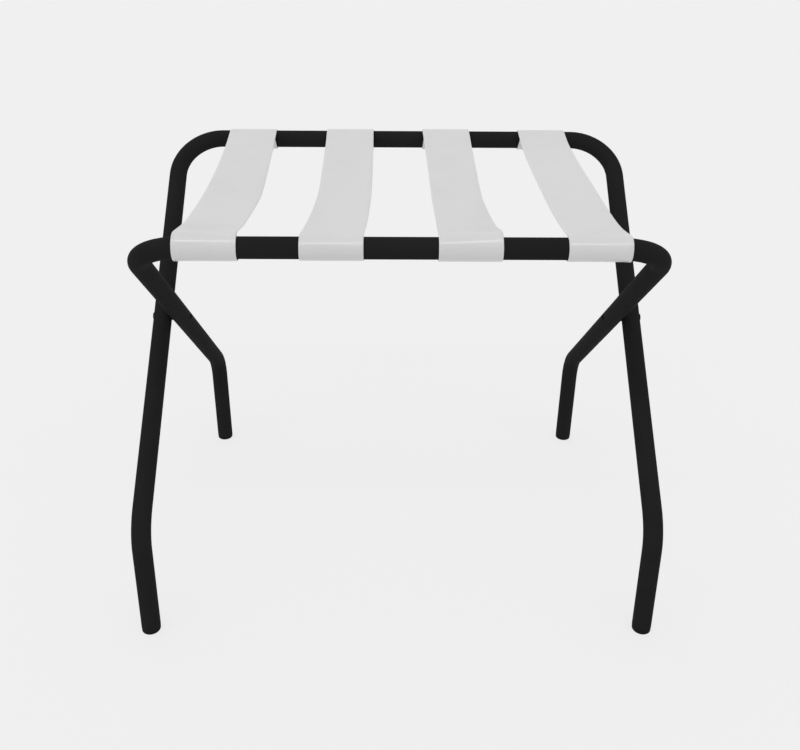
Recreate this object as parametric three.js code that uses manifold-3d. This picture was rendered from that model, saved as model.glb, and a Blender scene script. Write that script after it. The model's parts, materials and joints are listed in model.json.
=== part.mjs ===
// Folding luggage rack: two bent-tube frames crossed like scissors, four straps between their top rails.
// Millimetres, +Z up. The origin is on the floor, midway between the feet. The front is towards -Y.
// The outer frame carries the rear rail and stands on the front feet; the inner frame is the reverse.

import * as THREE from 'three';
import { mergeVertices } from 'three/addons/utils/BufferGeometryUtils.js';
import Module from 'manifold-3d';

const wasm = await Module();
wasm.setup();

// Frame
const frameWidth = 608; // over the outer frame's legs
const railHeight = 488; // floor to rail centre
const railSpacing = 394; // front rail centre to rear rail centre
const pivotHeight = 315;
const kneeHeight = 140.5;
const footSpacing = 408; // front foot centre to rear foot centre, on the floor
const cornerRadius = 57; // tube centreline, at the rail's ends
const kneeRadius = 62; // tube centreline, above the feet
const tubeDiameter = 22;
const tubeWall = 1.2;

// Pivot
const shankDiameter = 6;
const headOverhang = 1.05; // head's rim past its hole
const headHeight = 0.6;
const tailOverhang = 0.35; // tail's rim past its hole
const tailHeight = 0.5;
const tailWall = 1.3; // round the tail's hollow
const tailBoreDepth = 6;
const spacerThickness = 1;
const spacerWidth = 1.55; // from its hole to its rim

// Foot cap
const soleHeight = 4.6; // under the lowest point of the tube's end
const soleEdgeRadius = 2;
const stemLength = 18;
const stemWall = 2;
const ribCount = 2;
const ribHeight = 1.6;
const ribDepth = 1.1;

// Strap
const strapWidth = 64;
const strapThickness = 1.4;
const strapOverrun = 15.6; // start of the inner frame's corner bend to the outer straps' outer edges
const lapLength = 30; // where the end of the loop is sewn under the strap
const throatReach = 18; // rail centre to the point where the loop closes
const loopSlack = 0.6; // how far the loop hangs below the rail
// Each strap: how far its front end has slid along the rail, then for each edge its sag, the shape of the
// sag towards the rear and front rails (1 is a crease, 2 a parabola, 4 a flat middle), and its bow to the
// right at mid-span.
const straps = [
  {
    name: 'strap_outer_left',
    slide: 4,
    left: { sag: 17, rear: 2.5, front: 1.8, bow: 0 },
    right: { sag: 27.5, rear: 1.5, front: 1.2, bow: 0 },
  },
  {
    name: 'strap_inner_left',
    slide: -3,
    left: { sag: 25, rear: 1.35, front: 1.35, bow: 2 },
    right: { sag: 26, rear: 1.35, front: 1.35, bow: 2 },
  },
  {
    name: 'strap_inner_right',
    slide: 3,
    left: { sag: 28, rear: 1.2, front: 1.45, bow: 3 },
    right: { sag: 28, rear: 1.2, front: 1.45, bow: 0 },
  },
  {
    name: 'strap_outer_right',
    slide: -1,
    left: { sag: 12.5, rear: 4, front: 2.4, bow: 0 },
    right: { sag: 10.5, rear: 4.4, front: 4.4, bow: 0 },
  },
];

// Clearances
const seatGap = 0.3; // between pieces that touch
const boreGap = 0.45; // rivet shank to its hole, on the radius
const loopGap = 0.3; // rail to the strap's loop, where the rail bends under the outer straps' edges

// Facets
const tubeSides = 16;
const cornerSteps = 7;
const kneeSteps = 4;
const roundSides = 16;
const loopSteps = 8;
const sagSteps = 8;
const lapSteps = 2;
const strapSteps = 4;
const domeSteps = 4;

// Derived places
const tubeRadius = tubeDiameter / 2;
const boreRadius = tubeRadius - tubeWall;
const legGap = spacerThickness + 2 * seatGap;
const outerX = frameWidth / 2 - tubeRadius;
const innerX = outerX - tubeDiameter - legGap;
const railY = railSpacing / 2;
const footY = footSpacing / 2;
const kneeY = (railY * (pivotHeight - kneeHeight)) / (railHeight - pivotHeight);
const legLean = Math.atan2(footY - kneeY, kneeHeight);
const soleSpare = tubeRadius * Math.abs(Math.tan(legLean)); // what the lean takes off the sole at its rim
const capSeat = soleHeight + soleSpare; // along the leg, floor to the cap's shoulder
const shankHole = shankDiameter / 2 + boreGap;
const bendLean = Math.asin(strapOverrun / cornerRadius); // of the rail under the outer straps' edges
const loopInner = tubeRadius / Math.cos(bendLean) + loopGap;
const loopOuter = loopInner + strapThickness;
const strapPitch = (2 * (innerX - cornerRadius + strapOverrun) - strapWidth) / (straps.length - 1);

const finish = {
  powderCoat: { color: 0x202020, roughness: 0.45, metalness: 0.1 },
  rivet: { color: 0x1b1b1b, roughness: 0.4, metalness: 0.4 },
  blackPlastic: { color: 0x1c1c1c, roughness: 0.6, metalness: 0 },
  nylon: { color: 0x161616, roughness: 0.55, metalness: 0 },
  strap: { color: 0xd8d8d8, roughness: 0.5, metalness: 0 },
};

// A route through given stations, each with a point and a direction.
// A tube that follows it has rings only there, so its straight runs stay plain.
class StationCurve extends THREE.Curve {
  constructor(stations) {
    super();
    this.stations = stations;
  }

  station(u) {
    return this.stations[Math.round(u * (this.stations.length - 1))];
  }

  getPointAt(u, target = new THREE.Vector3()) {
    return target.copy(this.station(u).point);
  }

  getTangentAt(u, target = new THREE.Vector3()) {
    return target.copy(this.station(u).tangent);
  }
}

// Stations along a polyline whose inner corners are rounded with the given radii.
function bentRoute(corners, bends) {
  const stations = [];
  const directions = corners.slice(1).map((c, i) => c.clone().sub(corners[i]).normalize());
  stations.push({ point: corners[0], tangent: directions[0] });
  bends.forEach(({ radius, steps }, i) => {
    const before = directions[i];
    const after = directions[i + 1];
    const turn = before.angleTo(after);
    const side = after.clone().addScaledVector(before, -after.dot(before)).normalize();
    const start = corners[i + 1].clone().addScaledVector(before, -radius * Math.tan(turn / 2));
    for (let k = 0; k <= steps; k++) {
      const angle = (turn * k) / steps;
      const point = start.clone();
      point.addScaledVector(before, radius * Math.sin(angle));
      point.addScaledVector(side, radius * (1 - Math.cos(angle)));
      const tangent = before.clone().multiplyScalar(Math.cos(angle)).addScaledVector(side, Math.sin(angle));
      stations.push({ point, tangent });
    }
  });
  stations.push({ point: corners.at(-1), tangent: directions.at(-1) });
  return stations;
}

function toSolid(geometry) {
  const bare = geometry.clone();
  bare.deleteAttribute('normal');
  bare.deleteAttribute('uv');
  const merged = mergeVertices(bare);
  const vertProperties = Float32Array.from(merged.attributes.position.array);
  const triVerts = Uint32Array.from(merged.index.array);
  return new wasm.Manifold(new wasm.Mesh({ numProp: 3, vertProperties, triVerts }));
}

function toGeometry(solid) {
  const { vertProperties, triVerts } = solid.getMesh();
  const geometry = new THREE.BufferGeometry();
  geometry.setAttribute('position', new THREE.BufferAttribute(vertProperties, 3));
  geometry.setIndex(new THREE.BufferAttribute(triVerts, 1));
  geometry.computeVertexNormals();
  return geometry;
}

function piece(name, geometry, look) {
  const mesh = new THREE.Mesh(geometry, new THREE.MeshStandardMaterial(look));
  mesh.name = name;
  return mesh;
}

function ringShape(outerRadius, innerRadius, sides) {
  const ring = (radius) => {
    const points = [];
    for (let i = 0; i < sides; i++) {
      const angle = (2 * Math.PI * i) / sides;
      points.push(new THREE.Vector2(radius * Math.cos(angle), radius * Math.sin(angle)));
    }
    return points;
  };
  const shape = new THREE.Shape(ring(outerRadius));
  shape.holes.push(new THREE.Path(ring(innerRadius)));
  return shape;
}

// One frame: foot, knee, corner, rail and back down. side is +1 when the rail is at the rear.
function frameTube(name, halfWidth, side) {
  const end = capSeat + seatGap;
  const leg = (x) => [
    new THREE.Vector3(x, -side * (footY - end * Math.sin(legLean)), end * Math.cos(legLean)),
    new THREE.Vector3(x, -side * kneeY, kneeHeight),
    new THREE.Vector3(x, side * railY, railHeight),
  ];
  const knee = { radius: kneeRadius, steps: kneeSteps };
  const corner = { radius: cornerRadius, steps: cornerSteps };
  const corners = [...leg(-halfWidth), ...leg(halfWidth).reverse()];
  const stations = bentRoute(corners, [knee, corner, corner, knee]);
  const tube = new THREE.ExtrudeGeometry(ringShape(tubeRadius, boreRadius, tubeSides), {
    steps: stations.length - 1,
    extrudePath: new StationCurve(stations),
  });
  const drill = new THREE.CylinderGeometry(shankHole, shankHole, 2 * frameWidth, roundSides);
  drill.rotateZ(Math.PI / 2).translate(0, 0, pivotHeight);
  return piece(name, toGeometry(toSolid(tube).subtract(toSolid(drill))), finish.powderCoat);
}

// Lathe profiles run along Y and are turned to lie along +Z or +X.
function lathe(profile) {
  return new THREE.LatheGeometry(profile.map(([r, y]) => new THREE.Vector2(r, y)), roundSides);
}

function arcPoints(cx, cy, radius, from, to, steps) {
  const points = [];
  for (let i = 0; i <= steps; i++) {
    const angle = from + ((to - from) * i) / steps;
    points.push([cx + radius * Math.cos(angle), cy + radius * Math.sin(angle)]);
  }
  return points;
}

// A hollow plug with ribs that grip the tube's bore, and a sole cut level with the floor.
function footCap(name, x, side) {
  const ribRadius = boreRadius - seatGap;
  const stemRadius = ribRadius - ribDepth;
  const stemTop = capSeat + stemLength;
  const ribPitch = stemLength / (ribCount + 1);
  const ribs = [];
  for (let i = 1; i <= ribCount; i++) {
    const y = capSeat + i * ribPitch;
    ribs.push([stemRadius, y - ribHeight / 2], [ribRadius, y - ribHeight / 2]);
    ribs.push([stemRadius, y + ribHeight / 2]);
  }
  const edgeX = tubeRadius - soleEdgeRadius;
  const edgeY = soleEdgeRadius - soleSpare;
  const soleEdge = arcPoints(edgeX, edgeY, soleEdgeRadius, -Math.PI / 2, 0, domeSteps);
  const cap = lathe([
    [0, -soleSpare],
    ...soleEdge,
    [tubeRadius, capSeat],
    [stemRadius, capSeat],
    ...ribs,
    [stemRadius, stemTop],
    [stemRadius - stemWall, stemTop],
    [stemRadius - stemWall, capSeat],
    [0, capSeat],
  ]);
  cap.rotateX(Math.PI / 2 + side * legLean).translate(x, side * footY, 0);
  const floor = new THREE.BoxGeometry(2 * tubeDiameter, 2 * tubeDiameter, tubeDiameter);
  floor.translate(x, side * footY, -tubeDiameter / 2);
  return piece(name, toGeometry(toSolid(cap).subtract(toSolid(floor))), finish.blackPlastic);
}

// A rivet through both legs: domed head outside, hollow rolled tail inside. It is turned along +X from Y.
function pivotRivet(name, side) {
  const headSeat = outerX + tubeRadius + seatGap;
  const tailSeat = innerX - tubeRadius - seatGap;
  const tailEnd = tailSeat - tailHeight;
  const headRadius = shankHole + headOverhang;
  const tailRadius = shankHole + tailOverhang;
  const hollowRadius = shankDiameter / 2 - tailWall;
  const domeRadius = (headRadius ** 2 + headHeight ** 2) / (2 * headHeight);
  const domeCentre = headSeat + headHeight - domeRadius;
  const rim = Math.asin((headSeat - domeCentre) / domeRadius);
  const dome = arcPoints(0, domeCentre, domeRadius, rim, Math.PI / 2, domeSteps).slice(0, -1);
  const rivet = lathe([
    [0, tailEnd + tailBoreDepth],
    [hollowRadius, tailEnd + tailBoreDepth],
    [hollowRadius, tailEnd],
    [tailRadius, tailEnd],
    [tailRadius, tailSeat],
    [shankDiameter / 2, tailSeat],
    [shankDiameter / 2, headSeat],
    ...dome,
    [0, headSeat + headHeight],
  ]);
  rivet.rotateZ(-side * Math.PI / 2).translate(0, 0, pivotHeight);
  return piece(name, rivet, finish.rivet);
}

function pivotSpacer(name, side) {
  const inside = innerX + tubeRadius + seatGap;
  const outside = inside + spacerThickness;
  const rim = shankHole + spacerWidth;
  const spacer = lathe([
    [shankHole, inside],
    [rim, inside],
    [rim, outside],
    [shankHole, outside],
    [shankHole, inside],
  ]);
  spacer.rotateZ(-side * Math.PI / 2).translate(0, 0, pivotHeight);
  return piece(name, spacer, finish.nylon);
}

// Where a strap leaves a rail, and the run of its top from there to mid-span: its middle line, and how much
// higher its right edge is than its left. end is 'rear' or 'front'.
function strapRun({ left, right }, end) {
  const slope = Math.atan((left.sag * left[end] + right.sag * right[end]) / (2 * railY));
  const endY = railY - loopOuter * Math.sin(slope);
  const endZ = railHeight + loopOuter * Math.cos(slope);
  const crest = railHeight + loopOuter;
  const edgeTop = (edge, y) => {
    const share = Math.min(Math.abs(y) / endY, 1);
    return endZ - (edge.sag - crest + endZ) * (1 - share ** edge[end]);
  };
  const top = (y) => (edgeTop(left, y) + edgeTop(right, y)) / 2;
  const throat = railY - throatReach;
  const tilt = (y) => {
    const free = 1 - THREE.MathUtils.smoothstep(Math.abs(y), throat - lapLength, throat);
    return free * (edgeTop(right, y) - edgeTop(left, y));
  };
  return { slope, endY, top, tilt };
}

// One half of a strap's section, in (y, z), with y measured from mid-span towards the rail.
function strapHalf({ slope, endY, top }) {
  const bottom = (y) => top(y) - strapThickness;
  const throat = railY - throatReach;
  const lapEnd = throat - lapLength;
  const lowCentre = railHeight - loopSlack;
  const lowTangent = (radius, pointZ) => {
    const across = throat - railY;
    const up = pointZ - lowCentre;
    return Math.atan2(up, across) + Math.acos(radius / Math.hypot(across, up));
  };
  const wrap = (radius, pointZ) => [
    ...arcPoints(railY, railHeight, radius, Math.PI / 2 + slope, 0, loopSteps),
    ...arcPoints(railY, lowCentre, radius, 0, lowTangent(radius, pointZ) - 2 * Math.PI, loopSteps),
  ];
  const stations = (from, to, steps) => {
    const values = [];
    for (let i = 0; i <= steps; i++) {
      values.push(from + ((to - from) * i) / steps);
    }
    return values;
  };
  const lapBottom = (y) => bottom(y) - strapThickness;
  return {
    upper: stations(0, endY, sagSteps).slice(0, -1).map((y) => [y, top(y)]),
    outside: wrap(loopOuter, lapBottom(throat)),
    lap: stations(throat, lapEnd, lapSteps).map((y) => [y, lapBottom(y)]),
    lower: stations(lapEnd, 0, sagSteps - lapSteps).map((y) => [y, bottom(y)]),
    hole: [...wrap(loopInner, bottom(throat)), [throat, bottom(throat)]].reverse(),
  };
}

// How far a rail's centreline has fallen away from straight at x, where its corner bend has begun.
function bendDrop(x, halfWidth) {
  const past = Math.min(Math.max(Math.abs(x) - (halfWidth - cornerRadius), 0), cornerRadius);
  return cornerRadius - Math.sqrt(cornerRadius ** 2 - past ** 2);
}

// Moves a straight strap's points to their places: the slide along the front rail, each edge's bow and sag,
// and the dip of a loop that reaches round the start of a rail's corner bend.
function settleStrap(geometry, centreX, { slide, left, right }, rearRun, frontRun) {
  const reach = railY - throatReach;
  const legRise = railHeight - pivotHeight;
  const legLength = Math.hypot(railY, legRise);
  const position = geometry.attributes.position;
  for (let i = 0; i < position.count; i++) {
    const across = position.getX(i) / strapWidth;
    const y = position.getY(i);
    const nearRail = Math.min(Math.abs(y) / reach, 1);
    const bow = THREE.MathUtils.lerp(left.bow, right.bow, across + 0.5) * (1 - nearRail ** 2);
    const x = centreX + position.getX(i) + bow + (slide * (railY - y)) / railSpacing;
    const lift = across * (y < 0 ? frontRun : rearRun).tilt(y);
    const drop = bendDrop(x, y < 0 ? innerX : outerX) * THREE.MathUtils.smoothstep(nearRail, 0, 1);
    const inward = (drop * railY) / legLength;
    const down = (drop * legRise) / legLength;
    position.setXYZ(i, x, y - Math.sign(y) * inward, position.getZ(i) + lift - down);
  }
  geometry.computeVertexNormals();
}

function strap(row, index) {
  const rearRun = strapRun(row, 'rear');
  const frontRun = strapRun(row, 'front');
  const rear = strapHalf(rearRun);
  const front = strapHalf(frontRun);
  const mirrored = (points) => points.map(([y, z]) => [-y, z]).reverse();
  const vectors = (points) => points.map(([y, z]) => new THREE.Vector2(y, z));
  const around = (half) => [...half.upper.slice(1), ...half.outside, ...half.lap, ...half.lower];
  const outline = [rear.upper[0], ...around(rear), ...mirrored(around(front).slice(0, -1))];
  const section = new THREE.Shape(vectors(outline));
  section.holes.push(new THREE.Path(vectors(rear.hole)), new THREE.Path(vectors(mirrored(front.hole))));
  const geometry = new THREE.ExtrudeGeometry(section, {
    depth: strapWidth,
    steps: strapSteps,
    bevelEnabled: false,
  });
  const sectionToYZ = new THREE.Matrix4().makeBasis(
    new THREE.Vector3(0, 1, 0),
    new THREE.Vector3(0, 0, 1),
    new THREE.Vector3(1, 0, 0),
  );
  geometry.applyMatrix4(sectionToYZ).translate(-strapWidth / 2, 0, 0);
  const centreX = (index - (straps.length - 1) / 2) * strapPitch;
  settleStrap(geometry, centreX, row, rearRun, frontRun);
  return piece(row.name, geometry, finish.strap);
}

const rack = new THREE.Group();
rack.name = 'luggage_rack';

rack.add(frameTube('outer_frame_tube', outerX, 1));
rack.add(frameTube('inner_frame_tube', innerX, -1));
for (const [sideName, sideSign] of [['left', -1], ['right', 1]]) {
  rack.add(footCap(`foot_cap_front_${sideName}`, sideSign * outerX, -1));
  rack.add(footCap(`foot_cap_rear_${sideName}`, sideSign * innerX, 1));
  rack.add(pivotRivet(`pivot_rivet_${sideName}`, sideSign));
  rack.add(pivotSpacer(`pivot_spacer_${sideName}`, sideSign));
}
straps.forEach((row, index) => rack.add(strap(row, index)));

export default rack;
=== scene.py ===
"""Looks of a folding luggage rack of black bent tube with four pale straps.

Metres, +Z up. The origin is on the floor, midway between the feet, and the front is towards -Y.
The outer frame carries the rear rail and stands on the front feet; the inner frame is the reverse.
"""

import json
import math
from collections import namedtuple

import bmesh
import bpy
from mathutils import Matrix, Vector, noise


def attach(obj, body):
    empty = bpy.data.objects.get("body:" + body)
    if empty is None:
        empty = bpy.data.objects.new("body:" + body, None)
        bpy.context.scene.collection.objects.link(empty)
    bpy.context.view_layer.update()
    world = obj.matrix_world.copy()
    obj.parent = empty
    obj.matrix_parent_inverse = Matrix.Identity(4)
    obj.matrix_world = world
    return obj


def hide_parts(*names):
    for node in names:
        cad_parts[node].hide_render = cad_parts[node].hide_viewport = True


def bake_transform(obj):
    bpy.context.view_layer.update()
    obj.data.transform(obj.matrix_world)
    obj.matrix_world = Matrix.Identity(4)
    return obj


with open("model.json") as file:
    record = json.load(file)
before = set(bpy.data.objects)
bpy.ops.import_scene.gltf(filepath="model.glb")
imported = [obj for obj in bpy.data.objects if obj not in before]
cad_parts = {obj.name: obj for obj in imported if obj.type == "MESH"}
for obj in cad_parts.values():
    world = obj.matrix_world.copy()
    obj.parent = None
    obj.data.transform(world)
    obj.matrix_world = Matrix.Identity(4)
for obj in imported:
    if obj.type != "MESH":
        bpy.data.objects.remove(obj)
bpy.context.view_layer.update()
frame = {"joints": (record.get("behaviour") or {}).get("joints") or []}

MM = 0.001

# Frame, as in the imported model.
FRAME_WIDTH = 608 * MM  # over the outer frame's legs
RAIL_HEIGHT = 488 * MM  # floor to rail centre
RAIL_SPACING = 394 * MM  # front rail centre to rear rail centre
KNEE_HEIGHT = 140.5 * MM
FOOT_SPACING = 408 * MM  # front foot centre to rear foot centre, on the floor
CORNER_RADIUS = 57 * MM  # tube centreline, at the rail's ends
KNEE_RADIUS = 62 * MM  # tube centreline, above the feet
TUBE_RADIUS = 11 * MM
TUBE_WALL = 1.2 * MM
COAT = 0.2 * MM  # powder coat, over the tube's radius
SEAT_GAP = 0.3 * MM  # between pieces that seat on each other

# Pivot.
SHANK_RADIUS = 3 * MM
HOLE_RADIUS = 3.45 * MM
HEAD_RADIUS = 4.5 * MM
HEAD_HEIGHT = 0.6 * MM
HEAD_RIM = 0.2 * MM  # height of the head's rim, under its dome
HEAD_CHAMFER = 0.15 * MM
TAIL_RADIUS = 3.8 * MM
TAIL_HEIGHT = 0.5 * MM
TAIL_HOLLOW = 1.7 * MM  # radius of the hollow at its mouth
TAIL_DEPTH = 6 * MM
TAIL_FLARE = 0.3 * MM  # how much wider the mouth is than the hollow behind it
FLARE_DEPTH = 0.8 * MM
SPACER_THICKNESS = 1 * MM
SPACER_RADIUS = 5 * MM
SPACER_CHAMFER = 0.2 * MM

# Foot cap.
SOLE_HEIGHT = 4.6 * MM  # under the lowest point of the tube's end
SOLE_EDGE = 1.2 * MM  # radius of the sole's rounded edge
SHOULDER_EDGE = 0.35 * MM  # radius of the edge under the tube's end
STEM_LENGTH = 18 * MM
STEM_WALL = 2 * MM
STEM_RADIUS = 8.4 * MM
RIB_RADIUS = 9.5 * MM
RIB_HEIGHT = 1.6 * MM
RIB_PLACES = (6 * MM, 12 * MM)  # rib centres, above the cap's shoulder
GROOVE_RADII = (2.4 * MM, 4.4 * MM, 6.4 * MM)
GROOVE_HALF = 0.35 * MM  # half the width of a groove's mouth
GROOVE_FLOOR = 0.6  # width of a groove's floor, as a share of its mouth
GROOVE_DEPTH = 0.4 * MM

# Straps.
STRAP_WIDTH = 63 * MM
STRAP_THICKNESS = 1.2 * MM
STRAP_PITCH = 130.667 * MM  # centre to centre
LOOP_GAP = 0.15 * MM  # between a rail's coat and a strap
LOOP_RADIUS = TUBE_RADIUS + COAT + LOOP_GAP + STRAP_THICKNESS / 2
LOOP_BOW = 0.5 * MM  # how far a loop's return to the strap bows down
THROAT_REAR = 26 * MM  # rail centre to the point where a loop closes
THROAT_FRONT = 9 * MM
LAP_LENGTH = 30 * MM  # where the end of a loop is joined under the strap
LAP_GAP = 0.3 * MM  # between the two layers of a lap
LAP_DROP = STRAP_THICKNESS + LAP_GAP
LAP_INSET = 1.6 * MM  # how much narrower a front loop's lower layer is on each side
BRIDGING = 0.1  # share of a rail's corner bend that a strap's upper layer follows
BEND_LIMIT = 0.9  # furthest that a strap follows a corner bend, in bend radii
LEANING = (0.8, 1.0)  # where a strap takes up a bend's lean, in shares of the way to a front throat
RIPPLE = 0.25 * MM  # height of the slow ripples in the free span
RIPPLE_RATES = (1.6, 9.0, 7.3)  # noise steps per strap width, per metre of span and per strap
CUP = 0.6 * MM  # how far the edges of the free span curl up
CUP_MEAN = 0.33  # takes the mean height out of the curl
FREE_POWER = 1.35  # how late the free span's ripples and curl fade towards the rails

# Stretches near a rail, as distances from the rail's centre towards mid-span, or outwards for WRAPPED.
RISE_UP = (-13 * MM, 2 * MM)  # where a stiff end comes up off the rail
RISE_DOWN = (2 * MM, 60 * MM)  # where it comes down to its sag again
PARTING = (0.0, 8 * MM)  # where its lower face parts from the tube
WRAPPED = (0.0, 7 * MM)  # where it turns glossy round the rail

# An edge has its sag, the shape of the sag towards the rear and front rails (1 is a crease, 2 a parabola,
# 4 a flat middle) and its bow to the right at mid-span. A strap has the slide of its rear and front ends
# along the rails, its two edges, the rise of its stiff joined ends where they come off the rails, the twist
# of its front end (by what share its right side rises more than its middle, and its left side less), and how
# far its loops hang loose below the tubes.
Edge = namedtuple("Edge", "sag rear front bow")
Strap = namedtuple("Strap", "name slide_rear slide_front left right rise_rear rise_front twist slack")
STRAPS = (
    Strap(
        name="outer_left", slide_rear=1.2 * MM, slide_front=4.4 * MM,
        left=Edge(sag=16.6 * MM, rear=2.5, front=1.8, bow=0.0),
        right=Edge(sag=27 * MM, rear=1.5, front=1.2, bow=0.0),
        rise_rear=0.5 * MM, rise_front=3.2 * MM, twist=0.0, slack=0.9 * MM,
    ),
    Strap(
        name="inner_left", slide_rear=2.1 * MM, slide_front=-2.5 * MM,
        left=Edge(sag=24.5 * MM, rear=1.35, front=1.35, bow=2 * MM),
        right=Edge(sag=25.5 * MM, rear=1.35, front=1.35, bow=2.2 * MM),
        rise_rear=1.25 * MM, rise_front=1.0 * MM, twist=0.0, slack=0.2 * MM,
    ),
    Strap(
        name="inner_right", slide_rear=0.9 * MM, slide_front=2.9 * MM,
        left=Edge(sag=27.4 * MM, rear=1.2, front=1.45, bow=3.2 * MM),
        right=Edge(sag=27.4 * MM, rear=1.2, front=1.45, bow=0.2 * MM),
        rise_rear=1.8 * MM, rise_front=3.2 * MM, twist=0.45, slack=0.7 * MM,
    ),
    Strap(
        name="outer_right", slide_rear=0.0, slide_front=-1.1 * MM,
        left=Edge(sag=12 * MM, rear=4.0, front=2.4, bow=0.3 * MM),
        right=Edge(sag=10 * MM, rear=4.4, front=4.4, bow=0.3 * MM),
        rise_rear=0.95 * MM, rise_front=0.8 * MM, twist=0.0, slack=0.3 * MM,
    ),
)

# Fineness of the meshes.
TUBE_SIDES = 48
KNEE_STEPS = 8
CORNER_STEPS = 36
HOLE_SIDES = 32
HOLE_REACH = 9 * MM  # a tube has a ring this far above and below its pivot hole
CAP_SIDES = 56
SOLE_STEPS = 8
SHOULDER_STEPS = 4
RIVET_SIDES = 40
DOME_STEPS = 12
ROLL_STEPS = 8
SPACER_SIDES = 48
STRAP_STEP = 2 * MM
STRAP_COLUMNS = 20
STRAP_EDGE_STEPS = 5
SPAN_STEPS = 200
OVER_STEPS = 60
UNDER_STEPS = 90
RETURN_STEPS = 40
LAP_STEPS = 30
SHARP_ANGLE = math.radians(35)
STRAP_SHARP_ANGLE = math.radians(60)

# Finishes. Shades are linear, with 1 for white, and noise scales are per metre.
DRIFT_DETAIL = 3.0
DRIFT_RANGE = (0.3, 0.7)  # of the slow noise, where the gloss and the fabric's shade change
BLACK_DRIFT_SCALE = 22.0
BLACK_SHADE_RANGE = (0.35, 0.65)  # of the slow noise, where a black finish's shade changes
BLACK_ROUGH_SPREAD = 0.04
BLACK_GRAIN_DETAIL = 2.0
FABRIC_DRIFT_SCALE = 28.0
FABRIC_SHADES = (0.569, 0.589)
FABRIC_EDGE_SHADE = 0.6
FABRIC_EDGE_WARMTH = 0.01
FABRIC_EDGE_SHARE = 0.5
FABRIC_EDGE_BAND = (0.9 * MM, 0.2 * MM)  # from the strap's edge, where its shade changes
FABRIC_ROUGH = (0.36, 0.42)
FABRIC_SPECULAR = 0.4
FABRIC_WRAP_GLOSS = 0.9  # of the burnished face round a rail
FABRIC_WRAP_ROUGH = 0.07
GRAIN_SCALE = 1500.0
GRAIN_DETAIL = 3.0
GRAIN_DEPTH = 0.012 * MM
THREAD_PITCH = 0.9475 * MM
THREAD_DEPTH = 0.006 * MM
THREAD_WANDER = 0.6
THREAD_DETAIL = 1.0
WAVE_RATE = 20.0  # radians that a wave texture of scale 1 turns in a metre
TEXTURE_STRENGTH = 0.5

# Floor and light. A direction's parts run from -1 to 1.
FLOOR_HALF = 30.0
FLOOR_SHADE = 0.12
FLOOR_GLOW = 0.740
BACKDROP_SHADE = 0.863
LEFT_WALL, RIGHT_WALL = 1.08, 0.78
FRONT_WALL, REAR_WALL = 0.87, 1.07
HORIZON = 0.03  # half of the height over which the walls fade out at the floor
CEILING_GLOW = 0.1
CEILING_FADE = (0.7, 1.0)
LAMP_GLOW = 5.0
LAMP_AXIS = (0.0, -0.5, 0.866)
LAMP_ACROSS = (0.0, 0.866, 0.5)
LAMP_EDGE = (0.035, 0.055)
LAMP_ENDS = (0.6, 0.8)

# Camera, fitted to the photograph, with its image in pixels.
IMAGE = (800, 750)
FOCAL_PIXELS = 920.9
OPTICAL_CENTRE = (394.1, 293.1)
SENSOR_WIDTH = 36.0
CAMERA_PLACE = (-0.01509, -1.0340, 0.82972)
CAMERA_PITCH = math.radians(24.997)
CAMERA_YAW = math.radians(0.599)
CAMERA_ROLL = math.radians(-0.433)

outer_x = FRAME_WIDTH / 2 - TUBE_RADIUS
inner_x = outer_x - 2 * TUBE_RADIUS - SPACER_THICKNESS - 2 * SEAT_GAP
rail_y = RAIL_SPACING / 2
foot_y = FOOT_SPACING / 2
pivot_z = frame["joints"][0]["pos_m"][2]
knee_y = rail_y * (pivot_z - KNEE_HEIGHT) / (RAIL_HEIGHT - pivot_z)
leg_lean = math.atan2(foot_y - knee_y, KNEE_HEIGHT)
cap_seat = SOLE_HEIGHT + TUBE_RADIUS * abs(math.tan(leg_lean))


def smoothstep(value, low, high):
    t = min(max((value - low) / (high - low), 0.0), 1.0)
    return t * t * (3 - 2 * t)


def arc(across, up, radius, start, end, steps):
    """Points along an arc about the point (across, up), with its angles in degrees."""
    points = []
    for k in range(steps + 1):
        angle = math.radians(start + (end - start) * k / steps)
        points.append((across + radius * math.cos(angle), up + radius * math.sin(angle)))
    return points


class Graph:
    """A node tree that is built by short calls."""

    def __init__(self, owner):
        owner.use_nodes = True
        self.tree = owner.node_tree
        self.tree.nodes.clear()

    def node(self, kind, settings=None, **inputs):
        """Adds a node. An input is given by its name, with _ for a space, or by its number, as _0."""
        made = self.tree.nodes.new(kind)
        for key, value in (settings or {}).items():
            setattr(made, key, value)
        for key, value in inputs.items():
            socket = made.inputs[int(key[1:]) if key[1:].isdigit() else key.replace("_", " ")]
            if isinstance(value, bpy.types.NodeSocket):
                self.tree.links.new(value, socket)
            else:
                socket.default_value = value
        return made

    def math(self, operation, first, second=0.0):
        return self.node("ShaderNodeMath", {"operation": operation}, _0=first, _1=second).outputs[0]

    def spread(self, value, low, high, to_low, to_high, smooth=False):
        """Maps a value from one range to another, clamped at both ends."""
        settings = {"interpolation_type": "SMOOTHSTEP" if smooth else "LINEAR"}
        made = self.node(
            "ShaderNodeMapRange", settings,
            Value=value, From_Min=low, From_Max=high, To_Min=to_low, To_Max=to_high,
        )
        return made.outputs[0]

    def noise(self, vector, scale, detail):
        return self.node("ShaderNodeTexNoise", None, Vector=vector, Scale=scale, Detail=detail).outputs[0]

    def blend(self, share, first, second):
        """Mixes two colours."""
        made = self.node("ShaderNodeMix", {"data_type": "RGBA"}, _0=share, _6=first, _7=second)
        return made.outputs[2]

    def bump(self, height, strength, distance, normal=None):
        made = self.node("ShaderNodeBump", None, Strength=strength, Distance=distance, Height=height)
        if normal is not None:
            self.tree.links.new(normal, made.inputs["Normal"])
        return made.outputs[0]


def grey(value, warmth=0.0):
    return (value * (1 + warmth), value, value * (1 - warmth), 1.0)


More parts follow.
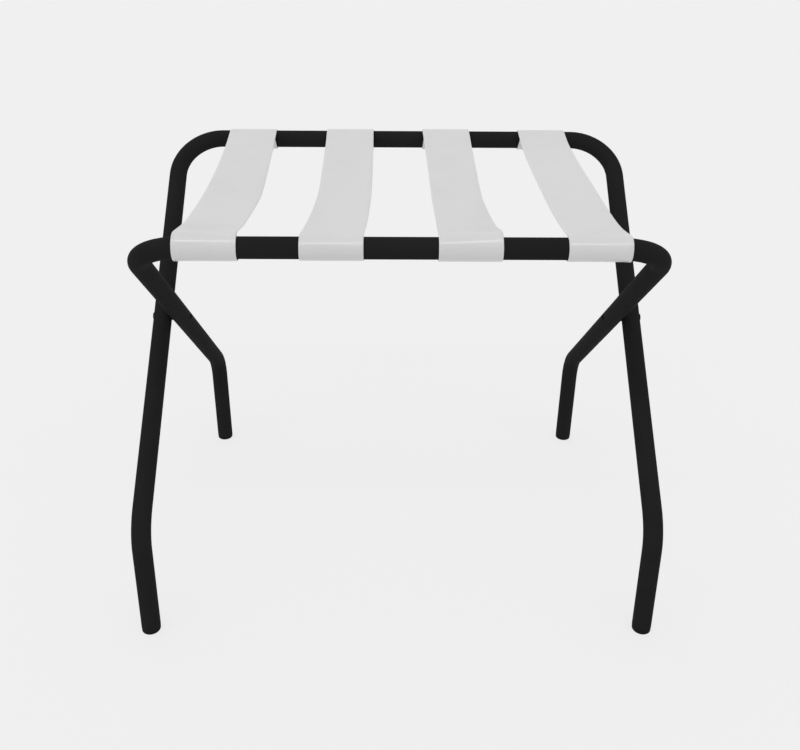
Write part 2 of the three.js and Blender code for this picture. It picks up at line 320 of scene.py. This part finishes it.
def coated_black(name, dark, light, rough, specular, grain_scale, grain_depth):
    """A black finish with a fine surface texture and a slow change of shade and gloss."""
    made = bpy.data.materials.new(name)
    graph = Graph(made)
    place = graph.node("ShaderNodeTexCoord").outputs["Object"]
    drift = graph.noise(place, BLACK_DRIFT_SCALE, DRIFT_DETAIL)
    grain = graph.noise(place, grain_scale, BLACK_GRAIN_DETAIL)
    lightness = graph.spread(drift, *BLACK_SHADE_RANGE, 0.0, 1.0)
    rough_range = (rough - BLACK_ROUGH_SPREAD, rough + BLACK_ROUGH_SPREAD)
    shader = graph.node(
        "ShaderNodeBsdfPrincipled", None,
        Base_Color=graph.blend(lightness, grey(dark), grey(light)),
        Roughness=graph.spread(drift, *DRIFT_RANGE, *rough_range),
        Specular_IOR_Level=specular,
        Normal=graph.bump(grain, 1.0, grain_depth),
    )
    graph.node("ShaderNodeOutputMaterial", None, Surface=shader.outputs[0])
    return made


def coated_fabric(name):
    """Smooth pale coated fabric: fine pressed grain over a faint weave, burnished where it wraps a rail."""
    made = bpy.data.materials.new(name)
    graph = Graph(made)
    place = graph.node("ShaderNodeUVMap", {"uv_map": "strap"}).outputs[0]
    across = graph.node("ShaderNodeSeparateXYZ", None, Vector=place).outputs[0]
    band = [STRAP_WIDTH / 2 - distance for distance in FABRIC_EDGE_BAND]
    edge = graph.spread(graph.math("ABSOLUTE", across), *band, 0.0, 1.0, True)
    wrap = graph.node("ShaderNodeAttribute", {"attribute_name": "wrap"}).outputs["Fac"]
    drift = graph.noise(place, FABRIC_DRIFT_SCALE, DRIFT_DETAIL)
    grain = graph.noise(place, GRAIN_SCALE, GRAIN_DETAIL)
    threads = graph.node(
        "ShaderNodeTexWave", {"bands_direction": "Y", "wave_profile": "SIN"},
        Vector=place, Scale=2 * math.pi / (WAVE_RATE * THREAD_PITCH),
        Distortion=THREAD_WANDER, Detail=THREAD_DETAIL,
    ).outputs[1]
    dark, light = (grey(shade) for shade in FABRIC_SHADES)
    face = graph.blend(graph.spread(drift, *DRIFT_RANGE, 0.0, 1.0), dark, light)
    edge_colour = grey(FABRIC_EDGE_SHADE, FABRIC_EDGE_WARMTH)
    weave = graph.bump(threads, TEXTURE_STRENGTH, THREAD_DEPTH)
    shader = graph.node(
        "ShaderNodeBsdfPrincipled", None,
        Base_Color=graph.blend(graph.math("MULTIPLY", edge, FABRIC_EDGE_SHARE), face, edge_colour),
        Roughness=graph.spread(drift, *DRIFT_RANGE, *FABRIC_ROUGH),
        Specular_IOR_Level=FABRIC_SPECULAR,
        Coat_Weight=graph.math("MULTIPLY", wrap, FABRIC_WRAP_GLOSS),
        Coat_Roughness=FABRIC_WRAP_ROUGH,
        Normal=graph.bump(grain, TEXTURE_STRENGTH, GRAIN_DEPTH, weave),
    )
    graph.node("ShaderNodeOutputMaterial", None, Surface=shader.outputs[0])
    return made


POWDER_COAT = coated_black(
    "powder_coat_black", dark=0.0134, light=0.0152, rough=0.68, specular=0.01,
    grain_scale=750.0, grain_depth=0.05 * MM,
)
RIVET_STEEL = coated_black(
    "rivet_black_oxide", dark=0.002, light=0.003, rough=0.6, specular=0.02,
    grain_scale=2200.0, grain_depth=0.012 * MM,
)
FOOT_PLASTIC = coated_black(
    "foot_black_plastic", dark=0.009, light=0.011, rough=0.6, specular=0.03,
    grain_scale=1900.0, grain_depth=0.03 * MM,
)
SPACER_NYLON = coated_black(
    "spacer_black_nylon", dark=0.007, light=0.009, rough=0.5, specular=0.25,
    grain_scale=1400.0, grain_depth=0.02 * MM,
)
STRAP_FABRIC = coated_fabric("strap_coated_fabric")


def add_object(name, bm, material, sharp_angle=SHARP_ANGLE):
    """Makes a smooth-shaded object from a bmesh, with creases where faces meet at more than an angle."""
    bmesh.ops.recalc_face_normals(bm, faces=bm.faces)
    mesh = bpy.data.meshes.new(name)
    bm.to_mesh(mesh)
    bm.free()
    mesh.materials.append(material)
    mesh.shade_smooth()
    mesh.set_sharp_from_angle(angle=sharp_angle)
    made = bpy.data.objects.new(name, mesh)
    bpy.context.collection.objects.link(made)
    return made


def join_rings(bm, rings):
    """Skins a list of equal closed rings of vertices, in order."""
    count = len(rings[0])
    for first, second in zip(rings, rings[1:]):
        for i in range(count):
            j = (i + 1) % count
            bm.faces.new((first[i], first[j], second[j], second[i]))


def bent_route(corners, bends):
    """Stations along a polyline whose inner corners are rounded: a list of point and direction."""
    directions = [(b - a).normalized() for a, b in zip(corners, corners[1:])]
    stations = [(corners[0], directions[0])]
    for i, (radius, steps) in enumerate(bends):
        before, after = directions[i], directions[i + 1]
        turn = before.angle(after)
        side = (after - before * after.dot(before)).normalized()
        start = corners[i + 1] - before * radius * math.tan(turn / 2)
        for k in range(steps + 1):
            angle = turn * k / steps
            point = start + before * radius * math.sin(angle) + side * radius * (1 - math.cos(angle))
            stations.append((point, before * math.cos(angle) + side * math.sin(angle)))
    stations.append((corners[-1], directions[-1]))
    return stations


def split_near(stations, height, reach):
    """Adds stations on the straight runs that cross a height, a short way above and below it."""
    out = [stations[0]]
    for (a, _), (b, direction) in zip(stations, stations[1:]):
        if (a.z - height) * (b.z - height) < 0:
            centre = a.lerp(b, (height - a.z) / (b.z - a.z))
            out.append((centre - direction * reach, direction))
            out.append((centre + direction * reach, direction))
        out.append((b, direction))
    return out


def frame_tube(name, half_width, side):
    """One bent tube: foot, knee, corner, rail and back down. side is +1 when the rail is at the rear."""
    end = cap_seat + SEAT_GAP
    foot = Vector((0, -side * (foot_y - end * math.sin(leg_lean)), end * math.cos(leg_lean)))
    knee = Vector((0, -side * knee_y, KNEE_HEIGHT))
    rail = Vector((0, side * rail_y, RAIL_HEIGHT))
    left, right = Vector((-half_width, 0, 0)), Vector((half_width, 0, 0))
    corners = [p + left for p in (foot, knee, rail)] + [p + right for p in (rail, knee, foot)]
    knee_bend, corner_bend = (KNEE_RADIUS, KNEE_STEPS), (CORNER_RADIUS, CORNER_STEPS)
    route = bent_route(corners, [knee_bend, corner_bend, corner_bend, knee_bend])
    bm = bmesh.new()
    outside, inside = [], []
    across = Vector((1, 0, 0))
    for point, direction in split_near(route, pivot_z, HOLE_REACH):
        across = (across - direction * across.dot(direction)).normalized()
        up = direction.cross(across)
        for rings, radius in ((outside, TUBE_RADIUS + COAT), (inside, TUBE_RADIUS - TUBE_WALL)):
            ring = []
            for i in range(TUBE_SIDES):
                angle = 2 * math.pi * i / TUBE_SIDES
                offset = across * math.cos(angle) + up * math.sin(angle)
                ring.append(bm.verts.new(point + offset * radius))
            rings.append(ring)
    join_rings(bm, outside)
    join_rings(bm, inside)
    join_rings(bm, [outside[0], inside[0]])
    join_rings(bm, [outside[-1], inside[-1]])
    return drill(add_object(name, bm, POWDER_COAT))


def drill(tube):
    """Cuts the rivets' holes through both legs of a tube."""
    bm = bmesh.new()
    bmesh.ops.create_cone(
        bm, cap_ends=True, segments=HOLE_SIDES, radius1=HOLE_RADIUS, radius2=HOLE_RADIUS,
        depth=2 * FRAME_WIDTH, matrix=along_x(1),
    )
    cutter = add_object("pivot_drill", bm, POWDER_COAT)
    cut = tube.modifiers.new("pivot_holes", "BOOLEAN")
    cut.operation = "DIFFERENCE"
    cut.solver = "EXACT"
    cut.object = cutter
    bpy.context.view_layer.update()
    drilled = bpy.data.meshes.new_from_object(tube.evaluated_get(bpy.context.evaluated_depsgraph_get()))
    tube.modifiers.clear()
    tube.data = drilled
    drilled.name = tube.name
    drilled.shade_smooth()
    drilled.set_sharp_from_angle(angle=SHARP_ANGLE)
    bpy.data.objects.remove(cutter)
    return tube


def along_x(side):
    """Carries a profile's height axis to X, outwards on one side, at the pivot."""
    return Matrix.Translation((0, 0, pivot_z)) @ Matrix.Rotation(side * math.pi / 2, 4, "Y")


def lathe(name, profile, place, material, sides):
    """Turns a profile of (radius, height) about its height axis; place carries it into the frame.

    The profile starts and ends on the axis, or closes on itself.
    """
    bm = bmesh.new()
    closed = profile[0] == profile[-1]
    rings = []
    for radius, height in profile[:-1] if closed else profile:
        ring = []
        for i in range(sides if radius > 0 else 1):
            angle = 2 * math.pi * i / sides
            point = Vector((radius * math.cos(angle), radius * math.sin(angle), height))
            ring.append(bm.verts.new(place @ point))
        rings.append(ring)
    if closed:
        rings.append(rings[0])
    for first, second in zip(rings, rings[1:]):
        for i in range(sides):
            j = (i + 1) % sides
            corners = [first[i % len(first)], first[j % len(first)]]
            corners += [second[j % len(second)], second[i % len(second)]]
            bm.faces.new(list(dict.fromkeys(corners)))
    return add_object(name, bm, material)


def foot_cap(name, x, side):
    """A plastic plug in the end of a leg: ribbed stem in the bore, round-edged sole with grip grooves."""
    sole = [(0.0, 0.0)]
    for radius in GROOVE_RADII:
        sole += [(radius - GROOVE_HALF, 0.0), (radius - GROOVE_FLOOR * GROOVE_HALF, GROOVE_DEPTH)]
        sole += [(radius + GROOVE_FLOOR * GROOVE_HALF, GROOVE_DEPTH), (radius + GROOVE_HALF, 0.0)]
    sole += arc(TUBE_RADIUS - SOLE_EDGE, SOLE_EDGE, SOLE_EDGE, -90, 0, SOLE_STEPS)
    shoulder = (TUBE_RADIUS - SHOULDER_EDGE, cap_seat - SHOULDER_EDGE)
    upper = arc(*shoulder, SHOULDER_EDGE, 0, 90, SHOULDER_STEPS)
    upper.append((STEM_RADIUS, cap_seat))
    for place in RIB_PLACES:
        upper.append((STEM_RADIUS, cap_seat + place - RIB_HEIGHT / 2))
        upper.append((RIB_RADIUS, cap_seat + place - RIB_HEIGHT / 2))
        upper.append((STEM_RADIUS, cap_seat + place + RIB_HEIGHT / 2))
    top = cap_seat + STEM_LENGTH
    bore = STEM_RADIUS - STEM_WALL
    upper += [(STEM_RADIUS, top), (bore, top), (bore, cap_seat), (0.0, cap_seat)]
    made = lathe(name, sole + upper, Matrix.Identity(4), FOOT_PLASTIC, CAP_SIDES)
    # The sole stays flat on the floor and the rest leans with the leg.
    base = Vector((x, side * foot_y, 0))
    lean = Matrix.Rotation(side * leg_lean, 4, "X")
    for vert in made.data.vertices:
        share = smoothstep(vert.co.z, GROOVE_DEPTH, SOLE_HEIGHT - SOLE_EDGE / 2)
        vert.co = base + vert.co.lerp(lean @ vert.co, share)
    return made


def pivot_rivet(name, side):
    """Low domed head outside, shank through both legs, hollow rolled tail inside."""
    head_seat = outer_x + TUBE_RADIUS + SEAT_GAP
    tail_seat = inner_x - TUBE_RADIUS - SEAT_GAP
    dome_height = HEAD_HEIGHT - HEAD_RIM
    dome_radius = (HEAD_RADIUS ** 2 + dome_height ** 2) / (2 * dome_height)
    dome_centre = head_seat + HEAD_HEIGHT - dome_radius
    rim = math.degrees(math.asin((head_seat + HEAD_RIM - dome_centre) / dome_radius))
    dome = arc(0, dome_centre, dome_radius, rim, 90, DOME_STEPS)[:-1]
    lip = (TAIL_RADIUS - TAIL_HOLLOW) / 2
    roll = []
    for k in range(ROLL_STEPS + 1):
        angle = math.pi * k / ROLL_STEPS
        roll.append((TAIL_HOLLOW + lip * (1 - math.cos(angle)), tail_seat - TAIL_HEIGHT * math.sin(angle)))
    bore = TAIL_HOLLOW - TAIL_FLARE
    bore_end = tail_seat - TAIL_HEIGHT + TAIL_DEPTH
    profile = [(0.0, bore_end), (bore, bore_end), (bore, tail_seat + FLARE_DEPTH)] + roll
    profile += [(SHANK_RADIUS, tail_seat), (SHANK_RADIUS, head_seat)]
    profile += [(HEAD_RADIUS - HEAD_CHAMFER, head_seat), (HEAD_RADIUS, head_seat + HEAD_CHAMFER)]
    profile += dome + [(0.0, head_seat + HEAD_HEIGHT)]
    return lathe(name, profile, along_x(side), RIVET_STEEL, RIVET_SIDES)


def pivot_spacer(name, side):
    """A thin washer between the two legs, with eased edges."""
    inside = inner_x + TUBE_RADIUS + SEAT_GAP
    outside = inside + SPACER_THICKNESS
    ease = SPACER_CHAMFER
    profile = [
        (HOLE_RADIUS, inside + ease), (HOLE_RADIUS + ease, inside),
        (SPACER_RADIUS - ease, inside), (SPACER_RADIUS, inside + ease),
        (SPACER_RADIUS, outside - ease), (SPACER_RADIUS - ease, outside),
        (HOLE_RADIUS + ease, outside), (HOLE_RADIUS, outside - ease),
        (HOLE_RADIUS, inside + ease),
    ]
    return lathe(name, profile, along_x(side), SPACER_NYLON, SPACER_SIDES)


class StrapRun:
    """One half of a strap along its middle surface: the sagging span, the loop round a rail and the lap."""

    def __init__(self, sags, shapes, rise, slack, reach):
        self.sags, self.shapes, self.rise, self.slack = sags, shapes, rise, slack
        self.throat = rail_y - reach
        self.slope = math.atan((sags[0] * shapes[0] + sags[1] * shapes[1]) / (2 * rail_y))
        self.end_y = rail_y - LOOP_RADIUS * math.sin(self.slope)
        self.end_z = RAIL_HEIGHT + LOOP_RADIUS * math.cos(self.slope)

    def edge_z(self, edge, y):
        """Height of the left edge, 0, or the right edge, 1."""
        low = RAIL_HEIGHT + LOOP_RADIUS - self.sags[edge]
        return low + (self.end_z - low) * min(abs(y) / self.end_y, 1) ** self.shapes[edge]

    def bare_z(self, y):
        return (self.edge_z(0, y) + self.edge_z(1, y)) / 2

    def lift(self, y, depth=0.5):
        """How far the stiff end stands above its sag near the rail.

        depth runs from -1/2 on the lower face to 1/2 on the upper one. The lower face stays on the tube.
        """
        past = rail_y - abs(y)
        top = self.rise * smoothstep(past, *RISE_UP) * (1 - smoothstep(past, *RISE_DOWN))
        return top * (0.5 + depth + (0.5 - depth) * smoothstep(past, *PARTING))

    def sheet_z(self, y):
        return self.bare_z(y) + self.lift(y)

    def tilt(self, y):
        """How much higher the right edge is than the left."""
        free = 1 - smoothstep(abs(y), self.throat - LAP_LENGTH, self.throat)
        return free * (self.edge_z(1, y) - self.edge_z(0, y))

    def half_line(self):
        """Dense points of (y, z) from the middle of the span to the lap's end, as for a rail at +Y."""
        points = []
        for k in range(SPAN_STEPS):
            y = self.end_y * k / SPAN_STEPS
            points.append((y, self.bare_z(y)))
        points += arc(rail_y, RAIL_HEIGHT, LOOP_RADIUS, 90 + math.degrees(self.slope), 0, OVER_STEPS)
        lap_z = self.sheet_z(self.throat) - LAP_DROP
        across, up = self.throat - rail_y, lap_z - RAIL_HEIGHT
        tangent = math.atan2(up, across) + math.acos(LOOP_RADIUS / math.hypot(across, up)) - 2 * math.pi
        for y, z in arc(rail_y, RAIL_HEIGHT, LOOP_RADIUS, 0, math.degrees(tangent), UNDER_STEPS)[1:]:
            points.append((y, z - self.slack * max(RAIL_HEIGHT - z, 0) / LOOP_RADIUS))
        leave_y, leave_z = points[-1]
        for k in range(1, RETURN_STEPS):
            share = k / RETURN_STEPS
            bow = LOOP_BOW * math.sin(math.pi * share)
            y = leave_y + (self.throat - leave_y) * share
            points.append((y, leave_z + (lap_z - leave_z) * share - bow))
        for k in range(LAP_STEPS + 1):
            y = self.throat - LAP_LENGTH * k / LAP_STEPS
            points.append((y, self.sheet_z(y) - LAP_DROP))
        return points


Sample = namedtuple("Sample", "y z normal_y normal_z length")


class StrapPath:
    """The middle line of one strap, from the rear lap's end round both rails to the front lap's.

    Each sample has its point, its outward normal and its length along the strap.
    """

    def __init__(self, row):
        sags = (row.left.sag, row.right.sag)
        rear_shapes = (row.left.rear, row.right.rear)
        front_shapes = (row.left.front, row.right.front)
        self.rear = StrapRun(sags, rear_shapes, row.rise_rear, row.slack, THROAT_REAR)
        self.front = StrapRun(sags, front_shapes, row.rise_front, row.slack, THROAT_FRONT)
        front_line = [(-y, z) for y, z in self.front.half_line()]
        self.samples = self.resample(self.rear.half_line()[::-1] + front_line[1:])
        self.length = self.samples[-1].length

    def run(self, y):
        return self.front if y < 0 else self.rear

    def resample(self, line):
        """Even samples of a dense line."""
        lengths = [0.0]
        for (ay, az), (by, bz) in zip(line, line[1:]):
            lengths.append(lengths[-1] + math.hypot(by - ay, bz - az))
        count = round(lengths[-1] / STRAP_STEP)
        points, at = [], 0
        for k in range(count + 1):
            want = lengths[-1] * k / count
            while at < len(line) - 2 and lengths[at + 1] < want:
                at += 1
            share = (want - lengths[at]) / (lengths[at + 1] - lengths[at])
            y = line[at][0] + (line[at + 1][0] - line[at][0]) * share
            z = line[at][1] + (line[at + 1][1] - line[at][1]) * share
            points.append((y, z, want))
        samples = []
        for k, (y, z, want) in enumerate(points):
            before, after = points[max(k - 1, 0)], points[min(k + 1, count)]
            dy, dz = after[0] - before[0], after[1] - before[1]
            size = math.hypot(dy, dz)
            samples.append(Sample(y, z, dz / size, -dy / size, want))
        return samples


def bend_drop(x, half_width):
    """How far a rail's centreline has fallen away from straight at x, and how far it leans there."""
    past = min(max(abs(x) - (half_width - CORNER_RADIUS), 0), BEND_LIMIT * CORNER_RADIUS)
    return CORNER_RADIUS - math.sqrt(CORNER_RADIUS ** 2 - past ** 2), math.asin(past / CORNER_RADIUS)


def settle(index, path, across, y, z, over):
    """Carries a point of a straight strap to its place on the rails.

    across runs from -1/2 to 1/2. over is true on the upper layer, which bridges a rail's bend.
    """
    row = STRAPS[index]
    near = min(abs(y) / (rail_y - THROAT_FRONT), 1)
    centre = (index - (len(STRAPS) - 1) / 2) * STRAP_PITCH
    bow = (row.left.bow + (row.right.bow - row.left.bow) * (across + 0.5)) * (1 - near ** 2)
    slide = row.slide_rear + (row.slide_front - row.slide_rear) * (rail_y - y) / RAIL_SPACING
    x = centre + across * STRAP_WIDTH + bow + slide
    tilt = across * path.run(y).tilt(y)
    free = min(2 * (1 - near ** FREE_POWER), 1)
    place = [rate * part for rate, part in zip(RIPPLE_RATES, (across, y, index))]
    ripple = noise.noise(Vector(place)) * RIPPLE * free
    cup = CUP * (4 * across * across - CUP_MEAN) * free
    point = Vector((x, y, z + tilt + ripple + cup))

    # Where the rail bends into a leg, the strap goes down the leg with it.
    drop, lean = bend_drop(x, inner_x if y < 0 else outer_x)
    above = smoothstep(z - RAIL_HEIGHT, 0, TUBE_RADIUS) if over else 0
    share = smoothstep(near, 0, 1) * (1 + (BRIDGING - 1) * above)
    rise = RAIL_HEIGHT - pivot_z
    leg = math.hypot(rail_y, rise)
    side = 1 if y > 0 else -1
    along = Vector((0, -side * rail_y / leg, -rise / leg))
    rail = Vector((x, side * rail_y, RAIL_HEIGHT))
    stretch = (1 / math.cos(lean) - 1) * smoothstep(near, *LEANING)
    return point + along * (drop * share + (point - rail).dot(along) * stretch)


def strap_section():
    """One closed ring across a strap: (share of the width, share of the thickness)."""
    edge = 0.5 * STRAP_THICKNESS / STRAP_WIDTH
    face = [(-0.5 + edge + (1 - 2 * edge) * i / STRAP_COLUMNS, 0.5) for i in range(STRAP_COLUMNS + 1)]
    turn = [math.radians(90 - 180 * i / STRAP_EDGE_STEPS) for i in range(1, STRAP_EDGE_STEPS)]
    right = [(0.5 - edge + edge * math.cos(a), 0.5 * math.sin(a)) for a in turn]
    back = [(a, -b) for a, b in reversed(face)]
    left = [(-a, -b) for a, b in right]
    return face + right + back + left


def strap_ribbon(index, path):
    """The mesh of one strap: its section carried along its path, with UVs in metres."""
    row = STRAPS[index]
    section = strap_section()
    bm = bmesh.new()
    uv_layer = bm.loops.layers.uv.new("strap")
    wrap_layer = bm.verts.layers.float.new("wrap")
    reach = [sample.y for sample in path.samples]
    upper_layer = range(reach.index(max(reach)), reach.index(min(reach)) + 1)
    rings, flat = [], {}
    for k, (y, z, normal_y, normal_z, length) in enumerate(path.samples):
        run = path.run(y)
        over = k in upper_layer
        inset = LAP_INSET * smoothstep(rail_y - abs(y), *PARTING) if y < 0 and not over else 0
        lapped = 1 - smoothstep(path.length - length, LAP_LENGTH, LAP_LENGTH + LOOP_RADIUS)
        ring = []
        for across, depth in section:
            off = depth * STRAP_THICKNESS
            skew = 2 * row.twist * across if y < 0 else 0
            lift = run.lift(y, depth) * (1 + skew) if over else run.lift(y) * skew * lapped
            share = across * (1 - 2 * inset / STRAP_WIDTH)
            place = settle(index, path, share, y + normal_y * off, z + normal_z * off + lift, over)
            vert = bm.verts.new(place)
            vert[wrap_layer] = smoothstep(abs(y) - rail_y, *WRAPPED)
            flat[vert] = (across * STRAP_WIDTH, length)
            ring.append(vert)
        rings.append(ring)
    join_rings(bm, rings)
    bm.faces.new(rings[0])
    bm.faces.new(list(reversed(rings[-1])))
    for face in bm.faces:
        for loop in face.loops:
            loop[uv_layer].uv = flat[loop.vert]
    return bm


def strap(index):
    """One strap: a single ribbon with its ends joined into loops round the rails."""
    name = STRAPS[index].name
    path = StrapPath(STRAPS[index])
    made = add_object(f"webbing_{name}", strap_ribbon(index, path), STRAP_FABRIC, STRAP_SHARP_ANGLE)
    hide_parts(f"strap_{name}")
    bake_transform(made)


def rigid(piece, body, node):
    """Puts a hard piece on its body, in place of a node."""
    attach(piece, body)
    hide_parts(node)


def add_floor():
    """A wide pale floor that mostly glows, so that shadows on it stay faint."""
    bm = bmesh.new()
    bmesh.ops.create_grid(bm, x_segments=1, y_segments=1, size=FLOOR_HALF)
    material = bpy.data.materials.new("floor_pale")
    graph = Graph(material)
    matt = graph.node("ShaderNodeBsdfDiffuse", None, Color=grey(FLOOR_SHADE))
    glow = graph.node("ShaderNodeEmission", None, Color=grey(FLOOR_GLOW))
    both = graph.node("ShaderNodeAddShader", None, _0=matt.outputs[0], _1=glow.outputs[0])
    graph.node("ShaderNodeOutputMaterial", None, Surface=both.outputs[0])
    add_object("floor", bm, material)


def add_light():
    """A soft white tent with a long strip lamp high in front, and a plain backdrop of the floor's shade."""
    world = bpy.data.worlds.new("studio")
    bpy.context.scene.world = world
    graph = Graph(world)
    direction = graph.node("ShaderNodeTexCoord").outputs["Generated"]
    x, y, z = graph.node("ShaderNodeSeparateXYZ", None, Vector=direction).outputs
    facing, aside = (
        graph.node("ShaderNodeVectorMath", {"operation": "DOT_PRODUCT"}, _0=direction, _1=axis).outputs[1]
        for axis in (LAMP_AXIS, LAMP_ACROSS)
    )
    sideways = graph.spread(x, -1.0, 1.0, LEFT_WALL, RIGHT_WALL)
    lengthways = graph.spread(y, -1.0, 1.0, FRONT_WALL, REAR_WALL)
    over_floor = graph.spread(z, -HORIZON, HORIZON, 0.0, 1.0)
    walls = graph.math("MULTIPLY", graph.math("MULTIPLY", sideways, lengthways), over_floor)
    ceiling = graph.spread(z, *CEILING_FADE, 0.0, CEILING_GLOW, True)
    strip = graph.spread(graph.math("ABSOLUTE", aside), *LAMP_EDGE, LAMP_GLOW, 0.0, True)
    lamp = graph.math("MULTIPLY", strip, graph.spread(facing, *LAMP_ENDS, 0.0, 1.0, True))
    strength = graph.math("ADD", walls, graph.math("ADD", ceiling, lamp))
    tent = graph.node("ShaderNodeBackground", None, Color=grey(1.0), Strength=strength)
    backdrop = graph.node("ShaderNodeBackground", None, Color=grey(BACKDROP_SHADE))
    seen = graph.node("ShaderNodeLightPath").outputs["Is Camera Ray"]
    both = graph.node("ShaderNodeMixShader", None, _0=seen, _1=tent.outputs[0], _2=backdrop.outputs[0])
    graph.node("ShaderNodeOutputWorld", None, Surface=both.outputs[0])


def add_camera():
    """The photograph's camera. Its shift is the optical centre's distance from the middle of the image."""
    data = bpy.data.cameras.new("camera")
    data.sensor_fit = "HORIZONTAL"
    data.sensor_width = SENSOR_WIDTH
    data.lens = SENSOR_WIDTH * FOCAL_PIXELS / IMAGE[0]
    data.shift_x = (IMAGE[0] / 2 - OPTICAL_CENTRE[0]) / IMAGE[0]
    data.shift_y = (OPTICAL_CENTRE[1] - IMAGE[1] / 2) / IMAGE[0]
    forward = Vector((
        math.sin(CAMERA_YAW) * math.cos(CAMERA_PITCH),
        math.cos(CAMERA_YAW) * math.cos(CAMERA_PITCH),
        -math.sin(CAMERA_PITCH),
    ))
    level = Vector((math.cos(CAMERA_YAW), -math.sin(CAMERA_YAW), 0))
    down = forward.cross(level)
    right = level * math.cos(CAMERA_ROLL) + down * math.sin(CAMERA_ROLL)
    up = level * math.sin(CAMERA_ROLL) - down * math.cos(CAMERA_ROLL)
    turn = Matrix((right, up, -forward)).transposed().to_4x4()
    camera = bpy.data.objects.new("camera", data)
    camera.matrix_world = Matrix.Translation(CAMERA_PLACE) @ turn
    bpy.context.collection.objects.link(camera)
    bpy.context.scene.camera = camera


rigid(frame_tube("outer_tube", outer_x, 1), "outer_frame", "outer_frame_tube")
rigid(frame_tube("inner_tube", inner_x, -1), "inner_frame", "inner_frame_tube")
for word, sign in (("left", -1), ("right", 1)):
    front = foot_cap(f"cap_front_{word}", sign * outer_x, -1)
    rigid(front, "outer_frame", f"foot_cap_front_{word}")
    rear = foot_cap(f"cap_rear_{word}", sign * inner_x, 1)
    rigid(rear, "inner_frame", f"foot_cap_rear_{word}")
    rivet = pivot_rivet(f"rivet_{word}", sign)
    rigid(rivet, "outer_frame", f"pivot_rivet_{word}")
    spacer = pivot_spacer(f"spacer_{word}", sign)
    rigid(spacer, "outer_frame", f"pivot_spacer_{word}")
for number in range(len(STRAPS)):
    strap(number)

add_floor()
add_light()
add_camera()
bpy.context.scene.view_settings.view_transform = "Standard"
